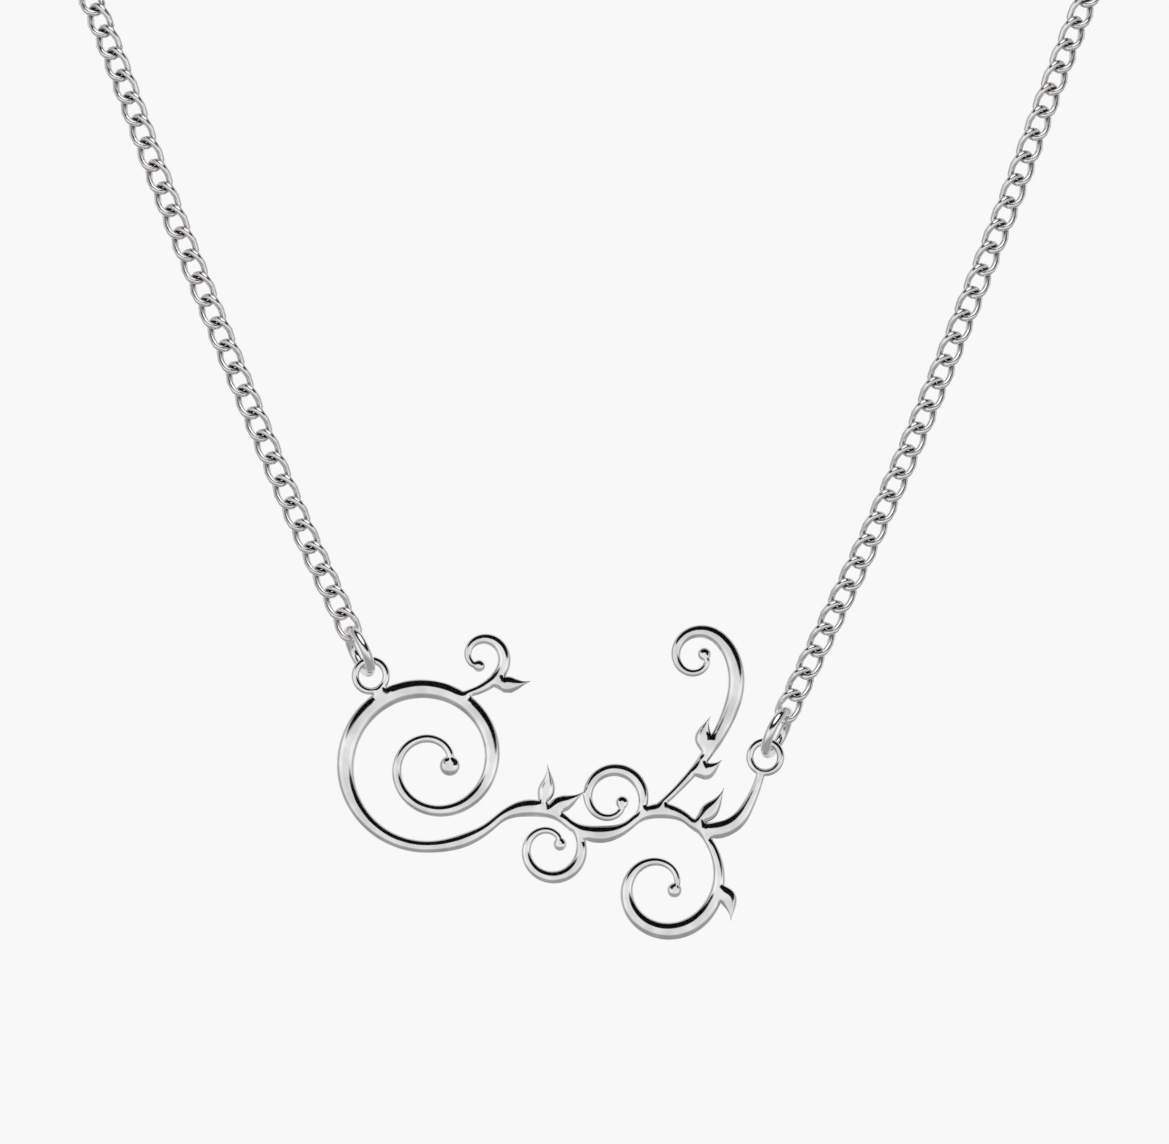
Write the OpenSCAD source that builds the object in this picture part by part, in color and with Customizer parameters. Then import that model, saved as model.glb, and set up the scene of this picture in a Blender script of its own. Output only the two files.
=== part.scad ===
// Necklace with a pierced scrollwork plate hung between two strands of curb chain.
// The front faces -Y, +Z is up, and the origin is the middle of the clasp at the nape.

/* [Chain] */
// Width of a curb link over its two straight sides
link_w = 1.85; // [1.8:0.05:2.1]
// Diameter of the link wire
wire_d = 0.45; // [0.36:0.01:0.46]
// Length of each straight side of a link
side_len = 0.79; // [0.76:0.01:0.92]
// How far the wire turns in each of the four bends of a link, in degrees
bend_turn = 111; // [109.5:0.5:114]
// Free play between two links at their ends
link_play = 0.12; // [0.11:0.01:0.16]

/* [Rings] */
// Outer diameter of the jump rings
ring_d = 4.15; // [3.9:0.05:4.8]
// Diameter of the jump ring wire
ring_wire = 0.75; // [0.6:0.01:0.76]
// How far a ring is turned about the chain, in degrees
ring_turn = 20; // [16:1:22]
// Play of a ring in an eyelet
ring_play = 0.16; // [0.15:0.01:0.19]

/* [Plate] */
// Radius of the large volute, which the other scrolls follow
volute_r = 6; // [5.4:0.1:6.8]
// Width of the swelled strokes at their widest
stroke_w = 1.3; // [1.1:0.05:1.45]
// Width of the thin ends of the strokes
thin_w = 0.6; // [0.5:0.05:0.7]
// Thickness of the plate
plate_t = 1; // [0.8:0.05:1.1]
// Outer diameter of the two eyelets
eyelet_d = 2.85; // [2.75:0.05:3.2]
// Hole in the two eyelets
eyelet_hole = 1.9; // [1.85:0.05:2.1]

/* [Clasp] */
// Outer diameter of the clasp hoop
clasp_d = 6; // [5.6:0.1:7]
// Diameter of the clasp wire
clasp_wire = 1.1; // [0.9:0.05:1.15]
// Outer diameter of the fixed eye of the clasp
eye_d = 2.5; // [2.4:0.05:3]
// Diameter of the wire of that eye
eye_wire = 0.6; // [0.5:0.02:0.62]

/* [Hidden] */
circle_sides = 32;

// Places that the plate hangs from, and the way of one strand from the nape down to it.
// Both strands take the same way, the left one mirrored, and the last stretch goes to its ring.
plate_at = [0, -112, -115];
strand_way = [[18, -0.6, -0.4], [36, -7.5, -3], [50, -24, -8.5], [57, -49, -17.5], [54.5, -76, -29.5],
              [47, -95, -45.5], [37.8, -105, -63], [30.4, -109.3, -82], [22.6, -111.4, -101]];
neck_middle_y = -35;
neck_depth_share = 2.2;
way_steps = 14;

// Curb link: two straight sides, and at each end two bends that meet on the long axis.
// The sides are a hair thicker than the bends, so each bend ends in a clean shoulder.
side_extra = 0.004;
half_w = (link_w - wire_d) / 2;
fold = -cos(bend_turn);
side_share = fold * side_len / (2 * half_w);
end_twist = acos((sqrt(side_share * side_share + 4 * (1 - fold)) - side_share) / 2);
side_slant = asin(fold / sin(end_twist));
apex = half_w * tan(end_twist) / tan(side_slant);
bend_r = half_w / cos(end_twist) / tan(bend_turn / 2);
side_way = [0, sin(side_slant), cos(side_slant)];
end_way = [-cos(end_twist), -sin(end_twist), 0];
bend_axis = unit(cross(side_way, end_way));
bend_roll = acos(-cross(bend_axis, end_way)[2]);
pitch = 2 * apex - wire_d - link_play;
// From the middle of the wire of a ring, or of the clasp's eye, to the middle of its link
ring_to_link = 0.45;
eye_to_link = 0.28;

ring_r = (ring_d - ring_wire) / 2;
ring_inner = ring_d / 2 - ring_wire;
// The rim of an eyelet rests on the inside of its ring, at the faces of the plate
half_across = plate_t / 2 / cos(ring_turn);
ring_rise = eyelet_hole / 2 - ring_play + sqrt(ring_inner * ring_inner - half_across * half_across);

clasp_r = (clasp_d - clasp_wire) / 2;
eye_r = (eye_d - eye_wire) / 2;
eye_sink = 0.1;
eye_x = clasp_r + eye_r + eye_sink;
end_ring_x = clasp_r - clasp_wire / 2 - ring_wire / 2 - ring_play + ring_r;

function unit(v) = v / norm(v);
function between(a, b, t) = a + (b - a) * t;
function last(list) = list[len(list) - 1];

// Six digits is what a transform is written with, so a place and an angle are given in two
// steps, a coarse one and the small rest, and the pieces of a link meet exactly.
function six_digits(x) = abs(x) < 1e-9 ? 0
    : let (p = pow(10, 5 - floor(log(abs(x))))) round(x * p) / p;

module place(p) {
    coarse = [for (v = p) round(v * 1000) / 1000];
    translate(coarse) translate(p - coarse) children();
}

module turn(angle, axis) {
    coarse = atan2(six_digits(sin(angle)), six_digits(cos(angle)));
    rotate(angle, axis) rotate(angle - coarse, axis) children();
}

// One bend of a link, from the end of the link to a straight side
module bend() {
    place([0, 0, apex]) turn(end_twist, [0, 0, 1]) turn(-bend_roll, [1, 0, 0])
        rotate([90, 0, 0]) place([0, -bend_r, 0]) turn(90 - bend_turn, [0, 0, 1])
            rotate_extrude(angle = bend_turn, $fn = circle_sides)
                place([bend_r, 0]) circle(d = wire_d, $fn = circle_sides);
}

module link() {
    for (turned = [[0, 0, 0], [180, 0, 0], [0, 180, 0], [0, 0, 180]]) rotate(turned) bend();
    for (turned = [0, 180])
        rotate([0, 0, turned]) place([half_w, 0, 0]) turn(-side_slant, [1, 0, 0])
            cylinder(d = wire_d + side_extra, h = side_len, center = true, $fn = circle_sides);
}

// Sets children with their long axis along the strand and their flat side outwards
module set_along(p, way, out) {
    l = unit(way);
    n = unit(out - l * (out * l));
    w = cross(n, l);
    multmatrix([[w[0], n[0], l[0], p[0]], [w[1], n[1], l[1], p[1]], [w[2], n[2], l[2], p[2]]])
        children();
}

module hoop(r, wire) {
    rotate_extrude($fn = circle_sides) translate([r, 0]) circle(d = wire, $fn = circle_sides);
}

// The way outwards from the neck at a point of the strand
function outward(p) = unit([p[0], neck_depth_share * (p[1] - neck_middle_y), 0]);

// A smooth curve through the points, with the way gone so far as the fourth value
function spline(a, b, c, d, t) = 0.5 * (2 * b + (c - a) * t + (2 * a - 5 * b + 4 * c - d) * t * t
    + (3 * b - a - 3 * c + d) * t * t * t);
function smooth_way(p) = let (m = len(p) - 1, q = concat([2 * p[0] - p[1]], p, [2 * p[m] - p[m - 1]]))
    concat([for (i = [0:m - 1]) for (k = [0:way_steps - 1])
        spline(q[i], q[i + 1], q[i + 2], q[i + 3], k / way_steps)], [p[m]]);
function measured(p) = [for (i = 0, gone = 0; i < len(p);
    i = i + 1, gone = i < len(p) ? gone + norm(p[i] - p[i - 1]) : gone)
        [p[i][0], p[i][1], p[i][2], gone]];
function at(way, s) = [for (k = [0:2]) lookup(s, [for (q = way) [q[3], q[k]]])];

// The strand of one side: its eyelet, its ring and the way of its links, all drawn for +X
function ring_way(eyelet) = unit([last(strand_way)[0] - eyelet[0], 0, last(strand_way)[2] - eyelet[2]]);
function ring_middle(eyelet) = eyelet + ring_rise * ring_way(eyelet);
function strand(eyelet, start_x) = measured(smooth_way(concat([[start_x, 0, 0]], strand_way,
    [ring_middle(eyelet) + (ring_r + ring_to_link) * ring_way(eyelet)])));

module links(way, from_share, to_share) {
    total = last(way)[3];
    gaps = ceil(total / pitch);
    for (i = [round(from_share * gaps):round(to_share * gaps) - (to_share < 1 ? 1 : 0)]) {
        s = i * total / gaps;
        along = at(way, min(s + pitch, total)) - at(way, max(s - pitch, 0));
        set_along(at(way, s), along, outward(at(way, s))) link();
    }
}

// Scrollwork: a path is walked from a start [x, z, heading] through arcs whose radius may
// change. Columns of an arc: start radius, end radius, turn. The radii are shares of volute_r.
arc_step = 5;
function arc_steps(arcs) = [for (a = arcs) let (n = ceil(abs(a[2]) / arc_step))
    for (i = [0:n - 1]) [between(a[0], a[1], (i + 0.5) / n) * volute_r, a[2] / n]];
function walk(start, arcs) = let (steps = arc_steps(arcs), n = len(steps))
    [for (i = 0, here = start, gone = 0; i <= n;
        step = i < n ? steps[i] : [0, 0],
        piece = step[0] * abs(step[1]) * PI / 180,
        here = [here[0] + piece * cos(here[2] + step[1] / 2),
                here[1] + piece * sin(here[2] + step[1] / 2), here[2] + step[1]],
        gone = gone + piece, i = i + 1) concat(here, gone)];
// A new start at a share of the length of a path, turned by an angle
function sprout(path, share, turned) =
    let (p = [for (q = path) if (q[3] >= share * last(path)[3] - 0.001) q][0]) [p[0], p[1], p[2] + turned];

// The stem winds out of the large volute and runs to the right eyelet, all as one stroke
stem = walk([-1.715 * volute_r, -1.12 * volute_r, 70],
    [[0.2, 0.48, 230], [0.48, 0.88, 220], [0.92, 1.02, 200], [1.43, 1.1, 42], [0.65, 0.65, -84],
     [0.62, 0.62, 84], [0.52, 0.52, -84], [0.42, 0.46, 100], [1.7, 1.9, 17]]);
curl_low = walk(sprout(stem, 0.757, 0), [[0.38, 0.33, -192], [0.33, 0.12, -228]]);
curl_high = walk(sprout(stem, 0.831, 0), [[0.38, 0.33, 192], [0.33, 0.12, 228]]);
plume = walk(sprout(stem, 0.853, 27),
    [[4.3, 3, 15], [3, 1.4, 20], [0.98, 0.35, 80], [0.35, 0.23, 150], [0.23, 0.1, 190]]);
tail = walk(sprout(stem, 0.894, 0), [[0.88, 0.6, -120], [0.6, 0.4, -130], [0.4, 0.16, -200]]);
crest = walk(sprout(stem, 0.319, 208), [[1, 0.43, 54], [0.29, 0.23, 120], [0.23, 0.1, 190]]);

// Swells of the strokes, with columns: share of the length, width as a share of stroke_w
thin = thin_w / stroke_w;
stem_swell = [[0, thin], [0.4, 1.1], [0.603, 0.7], [0.64, 0.8], [0.679, 0.58], [0.718, 1], [0.757, 0.58],
    [0.794, 1], [0.831, 0.58], [0.863, 0.9], [0.894, 0.58], [0.925, 1], [1, 0.5]];
curl_swell = [[0, 0.45], [0.3, 0.75], [1, 0.8 * thin]];
plume_swell = [[0, 0.4], [0.5, 0.95], [1, 0.8 * thin]];
tail_swell = [[0, 0.45], [0.45, 1], [1, 0.8 * thin]];
crest_swell = [[0, 0.4], [0.45, 0.75], [1, 0.8 * thin]];
leaf_swell = [[0, 0.25], [0.42, 1], [1, 0.05]];

// Columns of a scroll: path, swell, radius of the bead at its end as a share of stroke_w
scrolls = [
    [curl_low, curl_swell, 0.38],
    [curl_high, curl_swell, 0.38],
    [plume, plume_swell, 0.38],
    [tail, tail_swell, 0.42],
    [crest, crest_swell, 0.35],
];
// Columns of a leaf: its start, its length as a share of volute_r, its bend in degrees
leaves = [
    [sprout(stem, 0.722, 62), 0.57, 46],
    [sprout(stem, 0.728, 20), 0.57, 30],
    [sprout(stem, 0.894, 62), 0.6, 46],
    [sprout(plume, 0.16, -50), 0.42, 50],
    [sprout(plume, 0.24, 54), 0.5, -50],
    [sprout(tail, 0.23, 50), 0.5, -50],
    [sprout(crest, 0.27, -50), 0.5, 30],
];
stem_bead = 0.58;

// The width at a share of the length, eased from one row of the swell to the next
function width_at(swell, share) =
    let (i = max([for (k = [0:len(swell) - 2]) swell[k][0] <= share ? k : 0]),
        t = (share - swell[i][0]) / (swell[i + 1][0] - swell[i][0]))
    between(swell[i][1], swell[i + 1][1], (1 - cos(180 * min(t, 1))) / 2) * stroke_w;

module stroke(path, swell) {
    total = last(path)[3];
    edges = [for (side = [1, -1]) [for (p = path)
        [p[0], p[1]] + side * width_at(swell, p[3] / total) / 2 * [-sin(p[2]), cos(p[2])]]];
    polygon(concat(edges[0], [for (i = [len(path) - 1:-1:0]) edges[1][i]]));
}

module bead(end, radius_share) {
    translate([end[0], end[1]]) circle(radius_share * stroke_w, $fn = circle_sides);
}

module leaf(start, length_share, bent) {
    r = length_share / abs(bent) * 180 / PI;
    stroke(walk(start, [[r, r, bent]]), leaf_swell);
}

// Each eyelet overlaps the stroke that carries it by a third of its own wall
eyelet_sink = (eyelet_d - eyelet_hole) / 6;
eyelet_from = sprout(stem, 0.392, -90);
left_reach = 0.55 * stroke_w + eyelet_d / 2 - eyelet_sink;
left_eyelet = [eyelet_from[0] + left_reach * cos(eyelet_from[2]), eyelet_from[1] + left_reach * sin(eyelet_from[2])];
eyelet_to = last(stem);
right_reach = eyelet_d / 2 - eyelet_sink;
right_eyelet = [eyelet_to[0] + right_reach * cos(eyelet_to[2]), eyelet_to[1] + right_reach * sin(eyelet_to[2])];
left_at = plate_at + [left_eyelet[0], 0, left_eyelet[1]];
right_at = plate_at + [right_eyelet[0], 0, right_eyelet[1]];

left_way = strand([-left_at[0], left_at[1], left_at[2]], eye_x + eye_r + eye_to_link);
right_way = strand(right_at, end_ring_x + ring_r + ring_to_link);

// A ring of the strand, at the end of it that points the given way from the links
module strand_ring(p, way, r, wire) {
    set_along(p, way, outward(p)) rotate([0, 0, ring_turn]) rotate([0, 90, 0]) hoop(r, wire);
}

module sheet() {
    linear_extrude(plate_t, center = true) children();
}

module nameplate() {
    color("silver") translate(plate_at) rotate([90, 0, 0]) difference() {
        union() {
            sheet() stroke(stem, stem_swell);
            sheet() bead(stem[0], stem_bead);
            for (s = scrolls) {
                sheet() stroke(s[0], s[1]);
                sheet() bead(last(s[0]), s[2]);
            }
            for (l = leaves) sheet() leaf(l[0], l[1], l[2]);
            for (e = [left_eyelet, right_eyelet]) translate(e) sheet() circle(d = eyelet_d, $fn = 2 * circle_sides);
        }
        for (e = [left_eyelet, right_eyelet])
            translate(e) cylinder(d = eyelet_hole, h = 2 * plate_t, center = true, $fn = 2 * circle_sides);
    }
}

module jump_ring(eyelet) {
    color("gainsboro") strand_ring(ring_middle(eyelet), -ring_way(eyelet), ring_r, ring_wire);
}

module chain(way, from_share, to_share) {
    color("lightgray") links(way, from_share, to_share);
}

module end_ring() {
    color("gainsboro") strand_ring([end_ring_x, 0, 0], [-1, 0, 0], ring_r, ring_wire);
}

module clasp() {
    color("gainsboro") {
        rotate([90, 0, 0]) hoop(clasp_r, clasp_wire);
        translate([-eye_x, 0, 0]) hoop(eye_r, eye_wire);
    }
}

back_share = 0.5;
nameplate();
mirror([1, 0, 0]) jump_ring([-left_at[0], left_at[1], left_at[2]]);  // jump_ring_left
jump_ring(right_at);  // jump_ring_right
mirror([1, 0, 0]) chain(left_way, back_share, 1);  // chain_left
mirror([1, 0, 0]) chain(left_way, 0, back_share);  // chain_left_back
chain(right_way, back_share, 1);  // chain_right
chain(right_way, 0, back_share);  // chain_right_back
end_ring();
clasp();
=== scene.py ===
"""Studio scene of a silver necklace: a pierced scrollwork plate on two strands of curb chain.

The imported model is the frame. The plate, the rings, the clasp and the strands are made here as
finer meshes that stand for the frame's nodes, in the same places, and get polished silver.
Sizes are in metres, and the outline of the plate is worked on in millimetres.
"""

import logging
import math
from dataclasses import dataclass
from enum import Enum

import bmesh
import bpy
import numpy as np
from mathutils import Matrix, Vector
from mathutils.geometry import delaunay_2d_cdt
from mathutils.kdtree import KDTree


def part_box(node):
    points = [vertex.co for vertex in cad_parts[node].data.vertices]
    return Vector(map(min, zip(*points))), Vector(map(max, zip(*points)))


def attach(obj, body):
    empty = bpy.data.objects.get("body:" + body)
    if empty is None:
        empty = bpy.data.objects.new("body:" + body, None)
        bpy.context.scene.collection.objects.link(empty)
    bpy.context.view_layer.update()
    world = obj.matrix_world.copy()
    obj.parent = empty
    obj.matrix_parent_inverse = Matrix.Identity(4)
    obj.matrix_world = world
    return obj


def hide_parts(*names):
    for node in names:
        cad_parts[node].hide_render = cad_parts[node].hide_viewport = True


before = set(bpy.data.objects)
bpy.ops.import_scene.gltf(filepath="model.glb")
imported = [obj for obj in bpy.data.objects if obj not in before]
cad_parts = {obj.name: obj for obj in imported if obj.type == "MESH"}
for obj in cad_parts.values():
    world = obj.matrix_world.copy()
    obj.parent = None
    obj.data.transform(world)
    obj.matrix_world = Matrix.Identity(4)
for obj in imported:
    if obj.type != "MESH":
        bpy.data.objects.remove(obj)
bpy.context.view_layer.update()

MM = 0.001
SAME_PLACE = 0.001 * MM
LEAST_LENGTH = 1e-9
BODY = "root"
LOG = logging.getLogger("necklace")

Faces = list[tuple[int, ...]]


class Hand(Enum):
    """Side of the necklace, as someone who looks at the plate sees it."""

    LEFT = -1
    RIGHT = 1


class Slot(Enum):
    """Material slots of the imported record."""

    PLATE = "plate_silver"
    RING = "ring_silver"
    CHAIN = "chain_silver"


def link_object(name: str, data: bpy.types.ID) -> bpy.types.Object:
    """Put a mesh, a lamp or a camera into the scene.

    Args:
        name: Name of the new object.
        data: Its data. A mesh has its place in its vertices.

    Returns:
        The new object, at the origin.
    """
    obj = bpy.data.objects.new(name, data)
    bpy.context.scene.collection.objects.link(obj)
    return obj


def turn_outwards(mesh: bpy.types.Mesh) -> None:
    """Merge the doubled vertices of a closed mesh and turn its faces outwards."""
    work = bmesh.new()
    work.from_mesh(mesh)
    bmesh.ops.remove_doubles(work, verts=work.verts, dist=SAME_PLACE)
    bmesh.ops.recalc_face_normals(work, faces=work.faces)
    work.to_mesh(mesh)
    work.free()


def settle(obj: bpy.types.Object, modifier: bpy.types.Modifier) -> bpy.types.Mesh:
    """Make what an object's only modifier shows its plain mesh.

    Args:
        obj: The object, whose name the mesh takes.
        modifier: The modifier, which is then removed.

    Returns:
        The new mesh, with its faces outwards.
    """
    shown = obj.evaluated_get(bpy.context.evaluated_depsgraph_get())
    mesh = bpy.data.meshes.new_from_object(shown)
    obj.modifiers.remove(modifier)
    obj.data = mesh
    mesh.name = obj.name
    turn_outwards(mesh)
    return mesh


def seat(
    obj: bpy.types.Object, finish: bpy.types.Material, slot: Slot, *nodes: str
) -> bpy.types.Object:
    """Dress a finished piece, which then rides on the body and stands for its nodes.

    Args:
        obj: The finished piece.
        finish: Its material.
        slot: Material slot that its finish stands for; not used.
        nodes: Nodes of the frame that it replaces.

    Returns:
        The piece.
    """
    obj.data.materials.clear()
    obj.data.materials.append(finish)
    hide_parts(*nodes)
    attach(obj, BODY)
    LOG.info("%s: %d faces", obj.name, len(obj.data.polygons))
    return obj


@dataclass(frozen=True)
class Wiring:
    """A node tree, and short ways to add and join its nodes."""

    tree: bpy.types.NodeTree

    def add(self, kind: str, **settings: object) -> bpy.types.Node:
        """Add one node.

        Args:
            kind: Type name of the node.
            settings: Its properties.

        Returns:
            The new node.
        """
        node = self.tree.nodes.new(kind)
        for name, value in settings.items():
            setattr(node, name, value)
        return node

    def join(self, source: bpy.types.NodeSocket, target: bpy.types.NodeSocket) -> None:
        """Link an output to an input."""
        self.tree.links.new(source, target)

    def feed(self, target: bpy.types.NodeSocket, value: object) -> None:
        """Link an output to an input, or set the input to a value.

        Args:
            target: The input.
            value: An output of another node, or a plain value.
        """
        if isinstance(value, bpy.types.NodeSocket):
            self.join(value, target)
        else:
            target.default_value = value

    def maths(self, operation: str, *values: object) -> bpy.types.NodeSocket:
        """Add a sum on numbers.

        Args:
            operation: Name of the sum.
            values: Its inputs, each an output of another node or a number.

        Returns:
            The result.
        """
        node = self.add("ShaderNodeMath", operation=operation)
        for socket, value in zip(node.inputs, values, strict=False):
            self.feed(socket, value)
        return node.outputs["Value"]

    def ramp(
        self, value: object, start: float, end: float, low: object, high: object
    ) -> bpy.types.NodeSocket:
        """Ease from one value to another as a number grows.

        Args:
            value: The number.
            start: Where the change starts.
            end: Where it ends.
            low: Value up to the start.
            high: Value from the end on.

        Returns:
            The result.
        """
        node = self.add("ShaderNodeMapRange", interpolation_type="SMOOTHSTEP")
        for name, number in zip(
            ("Value", "From Min", "From Max", "To Min", "To Max"),
            (value, start, end, low, high),
            strict=True,
        ):
            self.feed(node.inputs[name], number)
        return node.outputs["Result"]


# Finishes


@dataclass(frozen=True)
class Silver:
    """Polished silver, with the soft swells and the fine hairlines that polishing leaves.

    Where wire lies close to wire, the colour between them is darkened with painted shade, from
    ambient occlusion.
    """

    name: str
    colour: tuple[float, float, float]
    roughness: float
    rough_spread: float = 0.03
    swell_size: float = 3.0 * MM
    swell_height: float = 0.012 * MM
    swell_octaves: float = 2.0
    hairline_size: float = 0.15 * MM
    hairline_height: float = 0.0001 * MM
    hairline_octaves: float = 3.0
    noise_edge: tuple[float, float] = (0.3, 0.7)
    tone_spread: float = 0.04
    painted_shade_tone: float = 1.0
    painted_shade_reach: float = 0.4 * MM
    painted_shade_samples: int = 6
    painted_shade_edge: tuple[float, float] = (0.22, 0.8)

    def material(self) -> bpy.types.Material:
        """Build the material.

        Returns:
            The material, ready for a piece's mesh.
        """
        mat = bpy.data.materials.new(self.name)
        mat.use_nodes = True
        wiring = Wiring(mat.node_tree)
        shader = mat.node_tree.nodes["Principled BSDF"]
        shader.inputs["Metallic"].default_value = 1.0
        place = wiring.add("ShaderNodeTexCoord").outputs["Object"]
        swell = self._noise(wiring, place, self.swell_size, self.swell_octaves)
        fine = self._noise(wiring, place, self.hairline_size, self.hairline_octaves)

        tone = wiring.ramp(
            swell, *self.noise_edge, 1.0 - self.tone_spread, 1.0 + self.tone_spread / 2.0
        )
        # Painted shade: the base colour is darkened where ambient occlusion finds other wire
        # close by.
        if self.painted_shade_tone < 1.0:
            shade_occlusion = wiring.add(
                "ShaderNodeAmbientOcclusion", samples=self.painted_shade_samples, only_local=True
            )
            shade_occlusion.inputs["Distance"].default_value = self.painted_shade_reach
            painted_shade_factor = wiring.ramp(shade_occlusion.outputs["AO"], *self.painted_shade_edge, self.painted_shade_tone, 1.0)
            tone = wiring.maths("MULTIPLY", tone, painted_shade_factor)
        tint = wiring.add("ShaderNodeVectorMath", operation="SCALE")
        tint.inputs[0].default_value = self.colour
        wiring.join(tone, tint.inputs["Scale"])
        wiring.join(tint.outputs["Vector"], shader.inputs["Base Color"])

        smoother = self.roughness - self.rough_spread
        rougher = self.roughness + self.rough_spread
        rough = wiring.ramp(fine, *self.noise_edge, smoother, rougher)
        wiring.join(rough, shader.inputs["Roughness"])
        low = self._bump(wiring, swell, self.swell_height)
        high = self._bump(wiring, fine, self.hairline_height)
        wiring.join(low.outputs["Normal"], high.inputs["Normal"])
        wiring.join(high.outputs["Normal"], shader.inputs["Normal"])
        return mat

    @staticmethod
    def _noise(
        wiring: Wiring, place: bpy.types.NodeSocket, size: float, detail: float
    ) -> bpy.types.NodeSocket:
        """Add a noise.

        Args:
            wiring: Tree to add to.
            place: Coordinates that it reads.
            size: Size of one swell of the noise.
            detail: Octaves of the noise.

        Returns:
            The value of the noise.
        """
        noise = wiring.add("ShaderNodeTexNoise")
        noise.inputs["Scale"].default_value = 1.0 / size
        noise.inputs["Detail"].default_value = detail
        wiring.join(place, noise.inputs["Vector"])
        return noise.outputs["Fac"]

    @staticmethod
    def _bump(wiring: Wiring, value: bpy.types.NodeSocket, height: float) -> bpy.types.Node:
        """Add a bump of a real height.

        Args:
            wiring: Tree to add to.
            value: Noise that gives the height.
            height: Height from the lowest to the highest place.

        Returns:
            The bump node.
        """
        bump = wiring.add("ShaderNodeBump")
        bump.inputs["Strength"].default_value = 1.0
        bump.inputs["Distance"].default_value = height
        wiring.join(value, bump.inputs["Height"])
        return bump


@dataclass(frozen=True)
class Finishes:
    """The three finishes of the necklace."""

    plate: Silver = Silver(
        name="plate silver",
        colour=(0.94, 0.94, 0.95),
        roughness=0.1,
        swell_size=2.2 * MM,
        swell_height=0.018 * MM,
        tone_spread=0.18,
    )
    rings: Silver = Silver(
        name="ring silver",
        colour=(0.93, 0.92, 0.915),
        roughness=0.13,
        swell_size=1.5 * MM,
        swell_height=0.006 * MM,
    )
    chain: Silver = Silver(
        name="chain silver",
        colour=(0.95, 0.93, 0.925),
        roughness=0.2,
        swell_size=0.9 * MM,
        swell_height=0.006 * MM,
        # Painted shade: nearly black where links lie close together.
        painted_shade_tone=0.04,
    )


# Wire: rings, clasp and chain


@dataclass(frozen=True)
class Hoop:
    """A closed round ring of wire."""

    centre: Vector
    axis: Vector
    radius: float
    wire: float
    around: int = 120
    sides: int = 28

    def mesh(self, name: str) -> bpy.types.Mesh:
        """Make the ring.

        Args:
            name: Name of the mesh.

        Returns:
            The mesh, in its place.
        """
        axis = self.axis.normalized()
        across = axis.orthogonal().normalized()
        up = axis.cross(across)
        turns = np.linspace(0.0, 2.0 * math.pi, self.around, endpoint=False)[:, None, None]
        rolls = np.linspace(0.0, 2.0 * math.pi, self.sides, endpoint=False)[None, :, None]
        ray = np.cos(turns) * np.array(across) + np.sin(turns) * np.array(up)
        reach = self.radius + self.wire / 2.0 * np.cos(rolls)
        rise = self.wire / 2.0 * np.sin(rolls) * np.array(axis)
        verts = (np.array(self.centre) + reach * ray + rise).reshape(-1, 3)
        n, m = self.around, self.sides
        faces = [
            (i * m + k, (i + 1) % n * m + k, (i + 1) % n * m + (k + 1) % m, i * m + (k + 1) % m)
            for i in range(n)
            for k in range(m)
        ]
        mesh = bpy.data.meshes.new(name)
        mesh.from_pydata(verts.tolist(), [], faces)
        turn_outwards(mesh)
        mesh.shade_smooth()
        return mesh


@dataclass(frozen=True)
class CurbLink:
    """A twisted curb link: two slightly bowed sides and two bends at each end.

    The link's width lies along X, its thin way along Y and its length along Z. Its wire has
    six sides, so it is thicker over its corners than the round wire of 0.45 mm that it stands
    for. That leaves less play between links, whose pitch is the same as in the frame.
    """

    width: float = 1.85 * MM
    wire: float = 0.515 * MM
    side: float = 0.8213 * MM
    bow: float = 0.06 * MM
    bend_turn: float = math.radians(111.0)
    play: float = 0.03 * MM
    bend_steps: int = 4
    wire_sides: int = 6

    @property
    def half_width(self) -> float:
        """Half the distance between the middle lines of the two sides, before their bow."""
        return (self.width - self.wire) / 2.0

    @property
    def fold(self) -> float:
        """Share by which a bend goes past a right angle."""
        return -math.cos(self.bend_turn)

    @property
    def end_twist(self) -> float:
        """Turn of the link's ends about its length."""
        share = self.fold * self.side / (2.0 * self.half_width)
        return math.acos((math.sqrt(share * share + 4.0 * (1.0 - self.fold)) - share) / 2.0)

    @property
    def side_slant(self) -> float:
        """Slant of the sides, before their bow."""
        return math.asin(self.fold / math.sin(self.end_twist))

    @property
    def apex(self) -> float:
        """Distance from the link's middle to the middle of the wire at its end."""
        return self.half_width * math.tan(self.end_twist) / math.tan(self.side_slant)

    @property
    def pitch(self) -> float:
        """Distance from link to link when the chain is held straight."""
        return 2.0 * self.apex - self.wire - self.play

    def bend(self) -> np.ndarray:
        """Trace one bend.

        Returns:
            Points of the wire's middle line, from a side to the end of the link.
        """
        side_way = Vector((0.0, math.sin(self.side_slant), math.cos(self.side_slant)))
        end_way = Vector((-math.cos(self.end_twist), -math.sin(self.end_twist), 0.0))
        inward = (side_way - end_way * side_way.dot(end_way)).normalized()
        radius = self.half_width / math.cos(self.end_twist) / math.tan(self.bend_turn / 2.0)
        turns = np.linspace(self.bend_turn, 0.0, self.bend_steps + 1)[:, None]
        back = -np.sin(turns) * np.array(end_way)
        drop = (np.cos(turns) - 1.0) * np.array(inward)
        return radius * (back + drop) + [0.0, 0.0, self.apex]

    def line(self, hand: Hand) -> bpy.types.Mesh:
        """Trace the whole link.

        Args:
            hand: Side of the necklace. Links of the left strand are twisted the other way.

        Returns:
            A mesh that is the closed middle line of the wire, about the link's middle.
        """
        bend = self.bend()
        side_x = bend[0][0]
        bowed = [[side_x + math.copysign(self.bow, side_x), 0.0, 0.0]]
        half = np.concatenate([bend[::-1], bowed, bend * [1.0, -1.0, -1.0]])[:-1]
        points = np.concatenate([half, half * [-1.0, 1.0, -1.0]]) * [hand.value, 1.0, 1.0]
        count = len(points)
        mesh = bpy.data.meshes.new("link_line")
        mesh.from_pydata(points.tolist(), [(i, (i + 1) % count) for i in range(count)], [])
        return mesh


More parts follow.
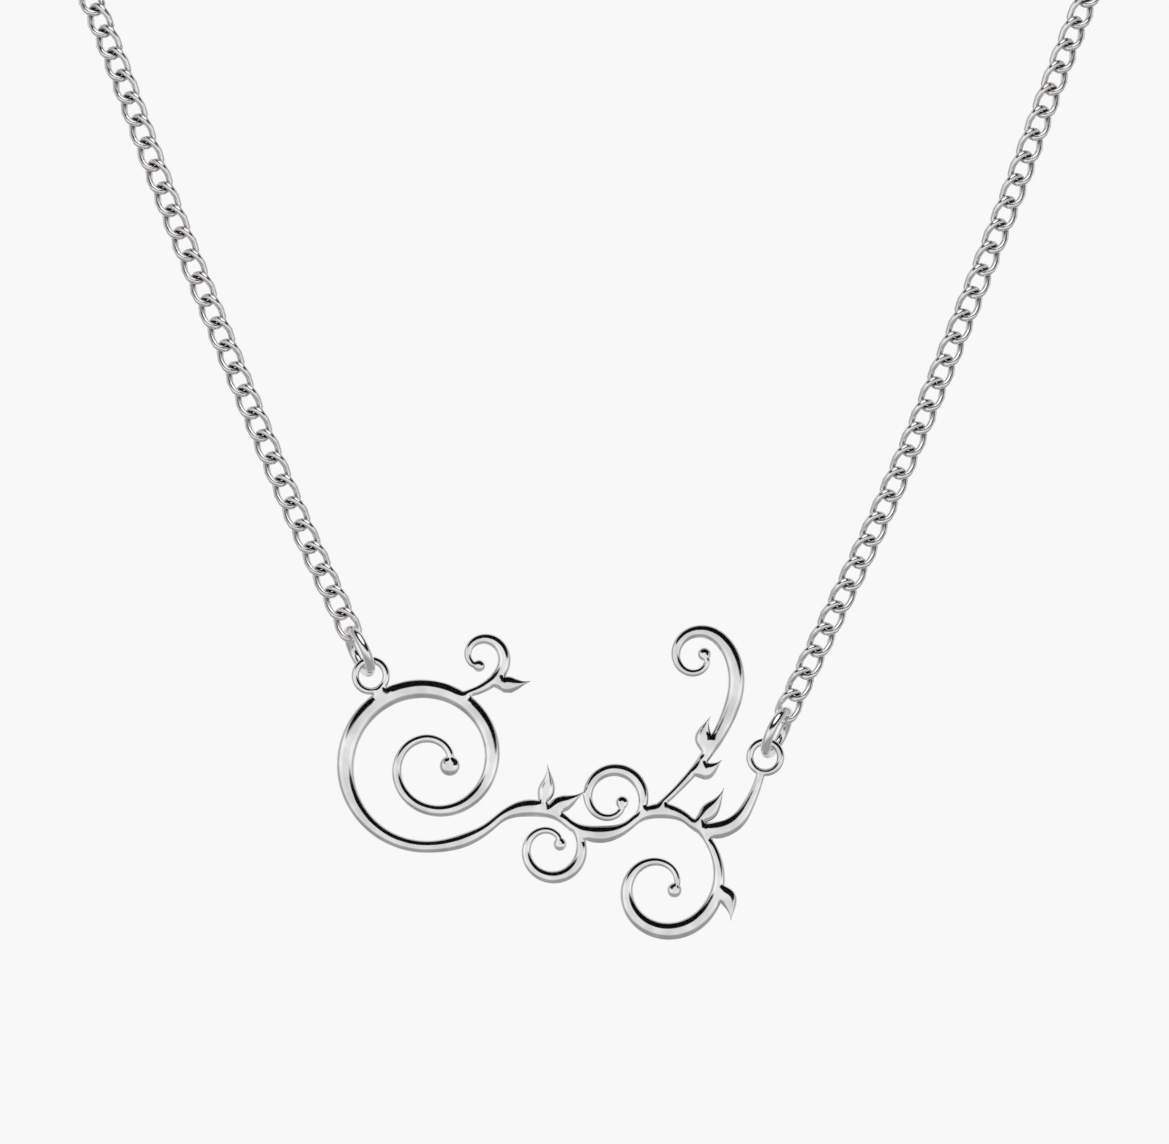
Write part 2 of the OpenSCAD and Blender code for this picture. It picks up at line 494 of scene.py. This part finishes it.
class StrandTree:
    """Geometry nodes that lay links of wire along a route, flat side outwards from the neck."""

    INPUTS = (
        ("Route", "NodeSocketGeometry"),
        ("Link Line", "NodeSocketObject"),
        ("Links", "NodeSocketInt"),
        ("Wire Diameter", "NodeSocketFloat"),
        ("Wire Sides", "NodeSocketInt"),
        ("Neck Middle Y", "NodeSocketFloat"),
        ("Neck Depth Share", "NodeSocketFloat"),
        ("Finish", "NodeSocketMaterial"),
    )

    def __init__(self) -> None:
        """Build the tree."""
        self.group = bpy.data.node_groups.new("curb_strand", "GeometryNodeTree")
        for name, kind in self.INPUTS:
            self.group.interface.new_socket(name, in_out="INPUT", socket_type=kind)
        self.group.interface.new_socket(
            "Strand", in_out="OUTPUT", socket_type="NodeSocketGeometry"
        )
        wiring = Wiring(self.group)
        given = wiring.add("NodeGroupInput").outputs
        wire = self._link(wiring, given)

        to_curve = wiring.add("GeometryNodeMeshToCurve")
        wiring.join(given["Route"], to_curve.inputs[0])
        spaced = wiring.add("GeometryNodeResampleCurve")
        wiring.join(to_curve.outputs[0], spaced.inputs["Curve"])
        wiring.join(given["Links"], spaced.inputs["Count"])
        laid = wiring.add("GeometryNodeInstanceOnPoints")
        wiring.join(spaced.outputs[0], laid.inputs["Points"])
        wiring.join(wire, laid.inputs["Instance"])
        wiring.join(self._turn(wiring, given), laid.inputs["Rotation"])

        smooth = wiring.add("GeometryNodeSetShadeSmooth")
        real = wiring.add("GeometryNodeRealizeInstances")
        dressed = wiring.add("GeometryNodeSetMaterial")
        out = wiring.add("NodeGroupOutput")
        wiring.join(laid.outputs[0], smooth.inputs["Geometry"])
        wiring.join(smooth.outputs[0], real.inputs["Geometry"])
        wiring.join(real.outputs[0], dressed.inputs["Geometry"])
        wiring.join(given["Finish"], dressed.inputs["Material"])
        wiring.join(dressed.outputs[0], out.inputs["Strand"])

    @staticmethod
    def _link(wiring: Wiring, given: bpy.types.NodeOutputs) -> bpy.types.NodeSocket:
        """Sweep the wire along the link's line.

        Args:
            wiring: Tree to add to.
            given: Inputs of the tree.

        Returns:
            The link's mesh.
        """
        source = wiring.add("GeometryNodeObjectInfo", transform_space="ORIGINAL")
        wiring.join(given["Link Line"], source.inputs["Object"])
        to_curve = wiring.add("GeometryNodeMeshToCurve")
        wiring.join(source.outputs["Geometry"], to_curve.inputs[0])
        section = wiring.add("GeometryNodeCurvePrimitiveCircle", mode="RADIUS")
        wiring.join(given["Wire Sides"], section.inputs["Resolution"])
        radius = wiring.maths("MULTIPLY", given["Wire Diameter"], 0.5)
        wiring.join(radius, section.inputs["Radius"])
        swept = wiring.add("GeometryNodeCurveToMesh")
        wiring.join(to_curve.outputs[0], swept.inputs["Curve"])
        wiring.join(section.outputs["Curve"], swept.inputs["Profile Curve"])
        return swept.outputs["Mesh"]

    @staticmethod
    def _turn(wiring: Wiring, given: bpy.types.NodeOutputs) -> bpy.types.NodeSocket:
        """Turn each link along the route, with its flat side outwards from the neck.

        Args:
            wiring: Tree to add to.
            given: Inputs of the tree.

        Returns:
            The rotation of each link.
        """
        apart = wiring.add("ShaderNodeSeparateXYZ")
        wiring.join(wiring.add("GeometryNodeInputPosition").outputs[0], apart.inputs[0])
        depth = wiring.maths("SUBTRACT", apart.outputs["Y"], given["Neck Middle Y"])
        deep = wiring.maths("MULTIPLY", depth, given["Neck Depth Share"])
        outwards = wiring.add("ShaderNodeCombineXYZ")
        wiring.join(apart.outputs["X"], outwards.inputs["X"])
        wiring.join(deep, outwards.inputs["Y"])
        turn = wiring.add("FunctionNodeAxesToRotation", primary_axis="Z", secondary_axis="Y")
        along = wiring.add("GeometryNodeInputTangent").outputs[0]
        wiring.join(along, turn.inputs["Primary Axis"])
        wiring.join(outwards.outputs[0], turn.inputs["Secondary Axis"])
        return turn.outputs[0]

    def lay(
        self, name: str, route: bpy.types.Mesh, values: dict[str, object]
    ) -> bpy.types.Object:
        """Lay one strand as a plain mesh.

        Args:
            name: Name of the strand.
            route: Line that the strand follows.
            values: The tree's inputs by name.

        Returns:
            The strand, with no modifier left on it.
        """
        obj = link_object(name, route)
        modifier = obj.modifiers.new("links", "NODES")
        modifier.node_group = self.group
        for item in self.group.interface.items_tree:
            if item.name in values:
                modifier[item.identifier] = values[item.name]
        settle(obj, modifier)
        return obj


@dataclass(frozen=True)
class Neck:
    """Where the strands hang round the neck, drawn for the right side."""

    way: tuple[tuple[float, float, float], ...] = (
        (18.0, -0.6, -0.4),
        (36.0, -7.5, -3.0),
        (50.0, -24.0, -8.5),
        (57.0, -49.0, -17.5),
        (54.5, -76.0, -29.5),
        (47.0, -95.0, -45.5),
        (37.8, -105.0, -63.0),
        (30.4, -109.3, -82.0),
        (22.6, -111.4, -101.0),
    )
    middle_y: float = -35.0 * MM
    depth_share: float = 2.2
    steps: int = 14

    @property
    def last(self) -> Vector:
        """The last point of the way, above a jump ring."""
        return Vector(self.way[-1]) * MM

    def outward(self, place: Vector) -> Vector:
        """Return the way outwards from the neck at a place."""
        return Vector((place.x, self.depth_share * (place.y - self.middle_y), 0.0)).normalized()

    def turned_axis(self, place: Vector, way: Vector, turned: float) -> Vector:
        """Find the axis of a ring that hangs on the strand.

        Args:
            place: Middle of the ring, drawn for the right side.
            way: Way along the ring, from its link to what hangs in it.
            turned: Turn of the ring about that way.

        Returns:
            The ring's axis.
        """
        along = way.normalized()
        out = self.outward(place)
        flat = (out - along * out.dot(along)).normalized()
        return flat.cross(along) * math.cos(turned) + flat * math.sin(turned)

    def route(self, start: Vector, end: Vector) -> np.ndarray:
        """Draw a smooth line along the way.

        Args:
            start: First point, at the clasp.
            end: Last point, at the jump ring.

        Returns:
            Points of the line.
        """
        points = np.array([start, *(Vector(p) * MM for p in self.way), end])
        padded = np.vstack([2 * points[0] - points[1], points, 2 * points[-1] - points[-2]])
        t = np.linspace(0.0, 1.0, self.steps, endpoint=False)[:, None]
        spans = []
        for a, b, c, d in zip(padded, padded[1:], padded[2:], padded[3:], strict=False):
            cubic = (3 * b - a - 3 * c + d) * t**3
            spans.append(
                0.5 * (2 * b + (c - a) * t + (2 * a - 5 * b + 4 * c - d) * t**2 + cubic)
            )
        return np.vstack([*spans, points[-1]])


@dataclass(frozen=True)
class Wirework:
    """The two strands, the jump rings, the end ring and the clasp."""

    finishes: Finishes
    neck: Neck = Neck()
    link: CurbLink = CurbLink()
    ring_radius: float = 1.7 * MM
    ring_wire: float = 0.75 * MM
    ring_turn: float = math.radians(20.0)
    ring_to_link: float = 0.45 * MM
    clasp_radius: float = 2.45 * MM
    clasp_wire: float = 1.1 * MM
    clasp_sharp: float = math.radians(40.0)
    eye_radius: float = 0.95 * MM
    eye_wire: float = 0.6 * MM
    eye_around: int = 72
    eye_sides: int = 20
    eye_to_link: float = 0.28 * MM

    @staticmethod
    def middle(node: str) -> Vector:
        """Return the middle of a node's box."""
        low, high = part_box(node)
        return (Vector(low) + Vector(high)) / 2.0

    def build(self) -> list[bpy.types.Object]:
        """Build and dress every piece of wire.

        Returns:
            The pieces.
        """
        chain = self.finishes.chain.material()
        silver = self.finishes.rings.material()
        tree = StrandTree()
        pieces = [self._end_ring(silver), self._clasp(silver)]
        for hand in Hand:
            pieces += [self._strand(hand, tree, chain), self._jump_ring(hand, silver)]
        return pieces

    def _drawn(self, hand: Hand) -> tuple[Vector, Vector]:
        """Find a jump ring, as drawn for the right side.

        Args:
            hand: Side of the necklace.

        Returns:
            The middle of the ring and the way from it to the chain.
        """
        place = self.middle(f"jump_ring_{hand.name.lower()}")
        place.x *= hand.value
        way = self.neck.last - place
        way.y = 0.0
        return place, way.normalized()

    def _strand(
        self, hand: Hand, tree: StrandTree, finish: bpy.types.Material
    ) -> bpy.types.Object:
        """Lay the links of one side.

        Args:
            hand: Side of the necklace.
            tree: Geometry nodes that lay them.
            finish: Their material.

        Returns:
            The strand.
        """
        side = hand.name.lower()
        place, way = self._drawn(hand)
        if hand is Hand.LEFT:
            start_x = self.eye_to_link - self.eye_wire / 2.0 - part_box("clasp")[0][0]
        else:
            start_x = self.middle("end_ring").x + self.ring_radius + self.ring_to_link
        end = place + way * (self.ring_radius + self.ring_to_link)
        points = self.neck.route(Vector((start_x, 0.0, 0.0)), end) * [hand.value, 1.0, 1.0]
        length = float(np.linalg.norm(np.diff(points, axis=0), axis=1).sum())
        links = math.ceil(length / self.link.pitch) + 1
        route = bpy.data.meshes.new(f"route_{side}")
        route.from_pydata(points.tolist(), [(i, i + 1) for i in range(len(points) - 1)], [])
        line = bpy.data.objects.new("link_line", self.link.line(hand))
        values = {
            "Link Line": line,
            "Links": links,
            "Wire Diameter": self.link.wire,
            "Wire Sides": self.link.wire_sides,
            "Neck Middle Y": self.neck.middle_y,
            "Neck Depth Share": self.neck.depth_share,
            "Finish": finish,
        }
        obj = tree.lay(f"strand_{side}", route, values)
        bpy.data.objects.remove(line)
        LOG.info("strand_%s: %d links on %.1f mm", side, links, length / MM)
        return seat(obj, finish, Slot.CHAIN, f"chain_{side}", f"chain_{side}_back")

    def _jump_ring(self, hand: Hand, finish: bpy.types.Material) -> bpy.types.Object:
        """Make the ring between a strand and the plate.

        Args:
            hand: Side of the necklace.
            finish: Its material.

        Returns:
            The ring.
        """
        node = f"jump_ring_{hand.name.lower()}"
        place, way = self._drawn(hand)
        axis = self.neck.turned_axis(place, -way, self.ring_turn)
        axis.x *= hand.value
        hoop = Hoop(self.middle(node), axis, self.ring_radius, self.ring_wire)
        ring = link_object(f"ring_{hand.name.lower()}", hoop.mesh(node))
        return seat(ring, finish, Slot.RING, node)

    def _end_ring(self, finish: bpy.types.Material) -> bpy.types.Object:
        """Make the ring on the right strand's end, which the clasp holds.

        Args:
            finish: Its material.

        Returns:
            The ring.
        """
        place = self.middle("end_ring")
        axis = self.neck.turned_axis(place, Vector((-1.0, 0.0, 0.0)), self.ring_turn)
        hoop = Hoop(place, axis, self.ring_radius, self.ring_wire)
        return seat(link_object("ring_end", hoop.mesh("end_ring")), finish, Slot.RING, "end_ring")

    def _clasp(self, finish: bpy.types.Material) -> bpy.types.Object:
        """Make the clasp: a hoop with a soldered eye, one closed piece.

        Args:
            finish: Its material.

        Returns:
            The clasp.
        """
        hoop = Hoop(Vector(), Vector((0.0, 1.0, 0.0)), self.clasp_radius, self.clasp_wire)
        eye_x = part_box("clasp")[0][0] + self.eye_radius + self.eye_wire / 2.0
        eye = Hoop(
            Vector((eye_x, 0.0, 0.0)),
            Vector((0.0, 0.0, 1.0)),
            self.eye_radius,
            self.eye_wire,
            around=self.eye_around,
            sides=self.eye_sides,
        )
        body = link_object("clasp_hoop", hoop.mesh("clasp_hoop"))
        added = link_object("clasp_eye", eye.mesh("clasp_eye"))
        joint = body.modifiers.new("solder", "BOOLEAN")
        joint.operation = "UNION"
        joint.solver = "EXACT"
        joint.object = added
        settle(body, joint).set_sharp_from_angle(angle=self.clasp_sharp)
        bpy.data.objects.remove(added)
        return seat(body, finish, Slot.RING, "clasp")


# Plate


@dataclass(frozen=True)
class Edge:
    """Points of the plate's outline, in millimetres, and what lies inwards of them."""

    points: np.ndarray
    inward: np.ndarray
    starts: tuple[int, ...]

    def tree(self) -> KDTree:
        """Return a search tree of the points."""
        found = KDTree(len(self.points))
        for i, (x, z) in enumerate(self.points):
            found.insert((x, z, 0.0), i)
        found.balance()
        return found


def nearest(tree: KDTree, places: np.ndarray) -> tuple[np.ndarray, np.ndarray]:
    """Find the nearest point of an outline.

    Args:
        tree: Search tree of the outline.
        places: Places to search from, one row each.

    Returns:
        The number of the nearest point and the distance to it, for each place.
    """
    found = [tree.find((x, z, 0.0)) for x, z in places]
    return np.array([f[1] for f in found]), np.array([f[2] for f in found])


@dataclass(frozen=True)
class ScrollPlate:
    """The flat pierced plate, with its edges rounded as polishing leaves them.

    Its lengths are in millimetres, apart from that of doubled vertices, which is in metres.
    """

    finishes: Finishes
    node: str = "nameplate"
    doubled: float = 1e-7
    facing: float = 0.99
    merge: float = 0.04
    corner: float = math.radians(28.0)
    edge_step: float = 0.11
    step_slack: float = 0.3
    fine_step: float = 0.02
    grid_step: float = 0.3
    grid_gap: float = 0.4
    fill_epsilon: float = 1e-5
    on_edge: float = 1e-4
    eyelet_hole: float = 1.74
    room_step: float = 0.04
    room_most: float = 0.84
    free_share: float = 0.96
    widths: tuple[float, float] = (0.25, 0.5)
    shares: tuple[float, float] = (0.9, 0.8)
    round_least: float = 0.08
    round_most: float = 0.6
    drop_most: float = 0.4
    even_out: float = 0.6
    even_most: float = 1.15
    profile: tuple[float, ...] = (15.0, 30.0, 45.0, 60.0, 75.0, 90.0)
    sharp: float = math.radians(38.0)

    def build(self) -> None:
        """Build and dress the plate."""
        loops = [self._close_in(self._smooth(loop)) for loop in self._outlines()]
        low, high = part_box(self.node)
        middle, half = (low[1] + high[1]) / 2.0, (high[1] - low[1]) / 2.0 / MM
        plan, faces, height = self._round_over(loops, half)
        obj = link_object("scroll_plate", self._solid(plan, faces, height, middle))
        seat(obj, self.finishes.plate.material(), Slot.PLATE, self.node)

    def _outlines(self) -> list[np.ndarray]:
        """Read the closed outlines of the plate's front face.

        Returns:
            The outlines in millimetres, with the metal on the left of their way.
        """
        work = bmesh.new()
        work.from_mesh(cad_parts[self.node].data)
        bmesh.ops.remove_doubles(work, verts=work.verts, dist=self.doubled)
        after: dict[int, list[int]] = {}
        for face in work.faces:
            if face.normal.y > -self.facing:
                continue
            for loop in face.loops:
                others = [f for f in loop.edge.link_faces if f is not face]
                if not others or others[0].normal.y > -self.facing:
                    after.setdefault(loop.vert.index, []).append(loop.link_loop_next.vert.index)
        work.verts.ensure_lookup_table()
        outlines = []
        while after:
            here, loop = next(iter(after)), []
            while here in after:
                loop.append(work.verts[here].co.copy())
                onward = after[here].pop()
                if not after[here]:
                    del after[here]
                here = onward
            outlines.append(np.array([(v.x / MM, v.z / MM) for v in loop]))
        work.free()
        return outlines

    def _smooth(self, loop: np.ndarray) -> np.ndarray:
        """Round off the flats of an outline, but keep its true corners.

        Args:
            loop: Points of the closed outline.

        Returns:
            Evenly spaced points of the smooth outline.
        """
        kept = [loop[0]]
        for point in loop[1:]:
            if np.linalg.norm(point - kept[-1]) > self.merge:
                kept.append(point)
        if np.linalg.norm(kept[-1] - kept[0]) <= self.merge:
            kept.pop()
        points = np.array(kept)
        span = np.roll(points, -1, 0) - points
        length = np.linalg.norm(span, axis=1)
        way = span / length[:, None]
        before, before_length = np.roll(way, 1, 0), np.roll(length, 1)
        turn = np.arccos(np.clip((way * before).sum(1), -1.0, 1.0))
        tangent = before * length[:, None] + way * before_length[:, None]
        tangent /= np.linalg.norm(tangent, axis=1)[:, None]
        corner = turn > self.corner
        out = []
        for i in range(len(points)):
            j = (i + 1) % len(points)
            leave, arrive = tangent[i], tangent[j]
            if corner[i] and corner[j]:
                leave = arrive = way[i]
            elif corner[i]:
                leave = 2.0 * way[i] * (way[i] @ arrive) - arrive
            elif corner[j]:
                arrive = 2.0 * way[i] * (way[i] @ leave) - leave
            steps = max(1, math.ceil(length[i] / self.edge_step - self.step_slack))
            t = (np.arange(steps) / steps)[:, None]
            out.append(
                (2 * t**3 - 3 * t**2 + 1) * points[i]
                + (t**3 - 2 * t**2 + t) * leave * length[i]
                + (3 * t**2 - 2 * t**3) * points[j]
                + (t**3 - t**2) * arrive * length[i]
            )
        return np.vstack(out)

    def _close_in(self, loop: np.ndarray) -> np.ndarray:
        """Draw the hole of an eyelet a little closer, to its polished rim.

        Args:
            loop: Points of a closed outline.

        Returns:
            The outline of the rim, or the same outline if it is no round hole.
        """
        middle = loop.mean(0)
        reach = np.linalg.norm(loop - middle, axis=1)
        if np.ptp(reach) > self.merge:
            return loop
        return middle + (loop - middle) * (self.eyelet_hole / 2.0 / reach.mean())

    @staticmethod
    def _edge(loops: list[np.ndarray], step: float | None) -> Edge:
        """Join the outlines, with their inward normals.

        Args:
            loops: The smooth outlines.
            step: Spacing to split them to, or none to keep their points.

        Returns:
            The edge.
        """
        points, inward, starts = [], [], [0]
        for loop in loops:
            ahead = np.roll(loop, -1, 0) - loop
            way = ahead / np.linalg.norm(ahead, axis=1)[:, None]
            corner = way + np.roll(way, 1, 0)
            corner /= np.maximum(np.linalg.norm(corner, axis=1), LEAST_LENGTH)[:, None]
            for i, (point, span) in enumerate(zip(loop, ahead, strict=True)):
                parts = 1 if step is None else max(1, math.ceil(np.linalg.norm(span) / step))
                for k in range(parts):
                    points.append(point + span * k / parts)
                    along = corner[i] if k == 0 else way[i]
                    inward.append((-along[1], along[0]))
            starts.append(len(points))
        return Edge(np.array(points), np.array(inward), tuple(starts))

    def _rounding(self, edge: Edge, fine: KDTree) -> np.ndarray:
        """Choose the radius of the rounded edge from the local width of the metal.

        Args:
            edge: The edge.
            fine: Search tree of the finely split edge.

        Returns:
            The radius for each point of the edge.
        """
        room = np.full(len(edge.points), self.room_step)
        growing = np.ones(len(edge.points), bool)
        for reach in np.arange(2.0 * self.room_step, self.room_most, self.room_step):
            _, distance = nearest(fine, edge.points + edge.inward * reach)
            growing &= distance > self.free_share * reach
            room[growing] = reach
        share = np.interp(room, self.widths, self.shares)
        radius = np.clip(room * share, self.round_least, self.round_most)
        for start, end in zip(edge.starts, edge.starts[1:], strict=False):
            span = max(1, min(round(self.even_out / self.edge_step / 2.0), (end - start) // 4))
            part = radius[start:end]
            shifted = [np.roll(part, k) for k in range(-span, span + 1)]
            radius[start:end] = np.minimum(np.mean(shifted, axis=0), part * self.even_most)
        return radius

    def _round_over(
        self, loops: list[np.ndarray], half: float
    ) -> tuple[np.ndarray, Faces, np.ndarray]:
        """Fill the outline with triangles and lift them to the rounded face.

        Args:
            loops: The smooth outlines.
            half: Half the plate's thickness.

        Returns:
            The plan of the vertices, the faces, and the height of each vertex over the
            middle of the plate, all in millimetres.
        """
        edge = self._edge(loops, None)
        finer = self._edge(loops, self.fine_step)
        fine, coarse = finer.tree(), edge.tree()
        radius = self._rounding(edge, fine)
        rows = [edge.points]
        for angle in self.profile:
            depth = radius * (1.0 - math.cos(math.radians(angle)))
            row = edge.points + edge.inward * depth[:, None]
            _, distance = nearest(fine, row)
            rows.append(row[distance > self.free_share * depth])
        low, high = edge.points.min(0), edge.points.max(0)
        lines = [np.arange(low[k], high[k], self.grid_step) for k in range(2)]
        grid = np.stack(np.meshgrid(*lines), -1).reshape(-1, 2)
        near, distance = nearest(coarse, grid)
        inside = ((grid - edge.points[near]) * edge.inward[near]).sum(1) > 0.0
        rows.append(grid[inside & (distance > radius[near] + self.grid_gap * self.grid_step)])
        bounds = []
        for start, end in zip(edge.starts, edge.starts[1:], strict=False):
            bounds += [(i, i + 1 if i + 1 < end else start) for i in range(start, end)]
        verts, _, faces, *_ = delaunay_2d_cdt(
            [Vector(p) for p in np.vstack(rows).tolist()], bounds, [], 0, self.fill_epsilon
        )
        plan = np.array([tuple(v) for v in verts])
        triangles = np.array(faces)
        centres = plan[triangles].mean(1)
        near, _ = nearest(fine, centres)
        inside = ((centres - finer.points[near]) * finer.inward[near]).sum(1) > 0.0
        triangles = triangles[inside]

        distance = nearest(fine, plan)[1]
        distance[distance < self.on_edge] = 0.0
        rounds = radius[nearest(coarse, plan)[0]]
        out = 1.0 - np.clip(distance / rounds, 0.0, 1.0)
        drop = np.minimum(rounds, self.drop_most) * (1.0 - np.sqrt(1.0 - out * out))
        return plan, [tuple(t) for t in triangles.tolist()], half - drop

    def _solid(
        self, plan: np.ndarray, faces: Faces, height: np.ndarray, middle: float
    ) -> bpy.types.Mesh:
        """Close the plate: the front, the same at the back, and the wall between them.

        Args:
            plan: Plan of the vertices, in millimetres.
            faces: Triangles of the front.
            height: Height of each vertex over the middle, in millimetres.
            middle: Where the middle of the plate lies along Y.

        Returns:
            The mesh.
        """
        count = len(plan)
        front = np.column_stack([plan[:, 0], middle / MM - height, plan[:, 1]])
        back = np.column_stack([plan[:, 0], middle / MM + height, plan[:, 1]])
        ways = {(a, b) for face in faces for a, b in zip(face, face[1:] + face[:1], strict=True)}
        walls = [(b, a, a + count, b + count) for a, b in ways if (b, a) not in ways]
        backs = [tuple(i + count for i in reversed(face)) for face in faces]
        verts = (np.vstack([front, back]) * MM).tolist()
        mesh = bpy.data.meshes.new("scroll_plate")
        mesh.from_pydata(verts, [], [*faces, *backs, *sorted(walls)])
        work = bmesh.new()
        work.from_mesh(mesh)
        loose = [v for v in work.verts if not v.link_faces]
        bmesh.ops.delete(work, geom=loose, context="VERTS")
        work.to_mesh(mesh)
        work.free()
        mesh.shade_smooth()
        mesh.set_sharp_from_angle(angle=self.sharp)
        return mesh


# Studio


@dataclass(frozen=True)
class Studio:
    """Pale floor, soft light all round with a black gap up in front, and the camera.

    The metal mirrors a tent of light. It is brightest in a ring round straight ahead, a
    little dimmer straight ahead and behind, and dim at the sides and below. The gap is wider
    towards both sides. A lamp in it lights the wire alone, so that the black edges the plate.
    """

    paper: float = 0.939
    floor_y: float = -0.05
    floor_z: float = -0.2
    floor_radius: float = 0.5
    floor_sides: int = 96
    floor_tone: float = 0.86
    floor_roughness: float = 0.9
    camera_x: float = -0.31 * MM
    camera_z: float = -107.37 * MM
    plate_y: float = -0.112
    distance: float = 2.0
    seen_width: float = 86.6 * MM
    sensor: float = 36.0
    clip_end: float = 20.0
    ahead: float = 0.78
    ring: float = 0.9
    sides: float = 0.4
    behind: float = 0.75
    below: float = 0.34
    ring_edge: tuple[float, float] = (-0.99, -0.9)
    sides_edge: tuple[float, float] = (-0.65, -0.1)
    behind_edge: tuple[float, float] = (0.2, 0.7)
    back_edge: tuple[float, float] = (0.88, 0.97)
    below_edge: tuple[float, float] = (-0.75, -0.25)
    gap: float = 0.0
    gap_axis: tuple[float, float, float] = (0.12, -0.57, 0.74)
    gap_spread: float = 0.26
    gap_edge: tuple[float, float] = (0.65, 0.73)
    lamp_away: float = 0.5
    lamp_width: float = 0.55
    lamp_power: float = 0.95
    softbox_width: float = 1.2
    softbox_power: float = 2.0
    softbox_place: tuple[float, float, float] = (-0.4, -0.9, 1.1)
    softbox_way: tuple[float, float, float] = (0.4, 0.85, -1.2)

    def build(self) -> None:
        """Build the studio."""
        self._world()
        self._floor()
        self._camera()
        self._light()
        bpy.context.scene.view_settings.view_transform = "Standard"
        LOG.info("studio: floor, light and camera")

    def _world(self) -> None:
        """Surround the piece with a light tent, which it mirrors."""
        world = bpy.data.worlds.new("light_tent")
        bpy.context.scene.world = world
        world.use_nodes = True
        wiring = Wiring(world.node_tree)
        shader = world.node_tree.nodes["Background"]
        way = wiring.add("ShaderNodeTexCoord").outputs["Generated"]
        apart = wiring.add("ShaderNodeSeparateXYZ")
        wiring.join(way, apart.inputs[0])
        depth = apart.outputs["Y"]
        wall = wiring.ramp(depth, *self.ring_edge, self.ahead, self.ring)
        wall = wiring.ramp(depth, *self.sides_edge, wall, self.sides)
        wall = wiring.ramp(depth, *self.behind_edge, wall, self.behind)
        wall = wiring.ramp(depth, *self.back_edge, wall, self.ahead)
        floor = wiring.ramp(apart.outputs["Z"], *self.below_edge, self.below, wall)
        lean = wiring.add("ShaderNodeVectorMath", operation="DOT_PRODUCT")
        wiring.join(way, lean.inputs[0])
        lean.inputs[1].default_value = self.gap_axis
        aside = wiring.maths("ABSOLUTE", apart.outputs["X"])
        toward = wiring.maths("MULTIPLY_ADD", aside, self.gap_spread, lean.outputs["Value"])
        tent = wiring.ramp(toward, *self.gap_edge, floor, self.gap)
        path = wiring.add("ShaderNodeLightPath")
        mirrored = wiring.ramp(path.outputs["Is Glossy Ray"], 0.0, 1.0, 1.0, tent)
        seen = wiring.ramp(path.outputs["Is Camera Ray"], 0.0, 1.0, mirrored, self.paper)
        wiring.join(seen, shader.inputs["Color"])

    def _floor(self) -> None:
        """Lay a round pale floor below the picture."""
        work = bmesh.new()
        bmesh.ops.create_circle(
            work, cap_ends=True, segments=self.floor_sides, radius=self.floor_radius
        )
        bmesh.ops.translate(work, verts=work.verts, vec=(0.0, self.floor_y, self.floor_z))
        mesh = bpy.data.meshes.new("floor")
        work.to_mesh(mesh)
        work.free()
        floor = link_object("floor", mesh)
        mat = bpy.data.materials.new("pale floor")
        mat.use_nodes = True
        shader = mat.node_tree.nodes["Principled BSDF"]
        shader.inputs["Base Color"].default_value = (*[self.floor_tone] * 3, 1.0)
        shader.inputs["Roughness"].default_value = self.floor_roughness
        shader.inputs["Specular IOR Level"].default_value = 0.0
        mesh.materials.append(mat)
        floor.visible_glossy = False

    def _camera(self) -> None:
        """Place the camera level with the plate and straight in front of it."""
        data = bpy.data.cameras.new("camera")
        data.sensor_fit = "HORIZONTAL"
        data.sensor_width = self.sensor
        data.lens = self.sensor * self.distance / self.seen_width
        data.clip_end = self.clip_end
        camera = link_object("camera", data)
        camera.location = (self.camera_x, self.plate_y - self.distance, self.camera_z)
        camera.rotation_euler = (math.pi / 2.0, 0.0, 0.0)
        bpy.context.scene.camera = camera

    @staticmethod
    def _lamp(
        name: str, width: float, power: float, place: Vector, way: Vector
    ) -> bpy.types.Object:
        """Hang a round soft lamp that the camera doesn't see.

        Args:
            name: Name of the lamp.
            width: Its width.
            power: Its power in watts.
            place: Where it hangs.
            way: Way that it shines.

        Returns:
            The lamp.
        """
        data = bpy.data.lights.new(name, "AREA")
        data.shape = "DISK"
        data.size = width
        data.energy = power
        lamp = link_object(name, data)
        lamp.location = place
        lamp.rotation_euler = way.to_track_quat("-Z", "Y").to_euler()
        lamp.visible_camera = False
        return lamp

    def _light(self) -> None:
        """Hang a soft lamp up in front, that only lifts the floor."""
        place, way = Vector(self.softbox_place), Vector(self.softbox_way)
        lamp = self._lamp("softbox", self.softbox_width, self.softbox_power, place, way)
        lamp.visible_glossy = False

    def light_wire(self, pieces: list[bpy.types.Object]) -> None:
        """Hang a soft lamp in the gap of the tent, which lights the wire and not the plate.

        Args:
            pieces: The pieces of wire.
        """
        axis = Vector(self.gap_axis).normalized()
        middle = Vector((0.0, self.plate_y, self.camera_z / 2.0))
        place = middle + axis * self.lamp_away
        lamp = self._lamp("wire_lamp", self.lamp_width, self.lamp_power, place, -axis)
        lit = bpy.data.collections.new("wire")
        for piece in pieces:
            lit.objects.link(piece)
        lamp.light_linking.receiver_collection = lit


def main() -> None:
    """Build the necklace and its studio."""
    logging.basicConfig(level=logging.INFO, format="%(name)s: %(message)s")
    finishes = Finishes()
    studio = Studio()
    studio.build()
    ScrollPlate(finishes).build()
    studio.light_wire(Wirework(finishes).build())


if __name__ == "__main__":
    main()
